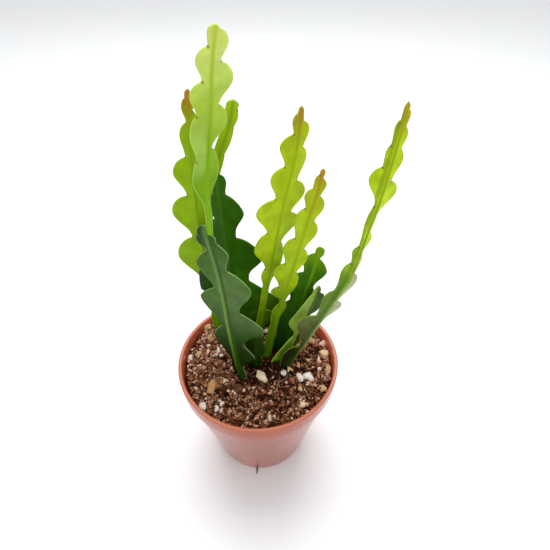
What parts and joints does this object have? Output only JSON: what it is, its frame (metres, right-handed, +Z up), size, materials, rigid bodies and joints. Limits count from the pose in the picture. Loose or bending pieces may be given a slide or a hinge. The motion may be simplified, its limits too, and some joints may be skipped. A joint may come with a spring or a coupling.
{
  "type": "fishbone cactus",
  "caption": "Potted fishbone cactus: flat, leafless stems with rounded zigzag lobes along both margins, rising from potting mix in a round tapered nursery pot.",
  "frame": {"origin": "centre of the pot's underside, on the surface the pot stands on", "axes": "+Z up along the pot's axis, -Y towards the front, +X to the right seen from the front"},
  "size_m": [0.1216, 0.105, 0.2867],
  "materials": {
    "terracotta_plastic": "smooth satin, terracotta orange, slightly translucent thin plastic",
    "potting_mix": "coarse dark brown peat and bark with white perlite grains",
    "old_stem": "waxy dark green plant skin, satin",
    "young_stem": "waxy mid green plant skin, satin",
    "new_stem": "waxy yellow-green plant skin, orange at the tips, satin"
  },
  "bodies": {
    "root": {"pot": "terracotta_plastic", "soil": "potting_mix", "front_cutting": "old_stem", "left_shoot": "young_stem", "slim_shoot": "young_stem", "back_cutting": "old_stem", "centre_shoot": "new_stem", "short_shoot": "new_stem", "right_stem": "young_stem", "back_right_cutting": "old_stem", "turned_shoot": "young_stem", "stub_cutting": "old_stem", "old_stump": "old_stem"}
  },
  "joints": []
}
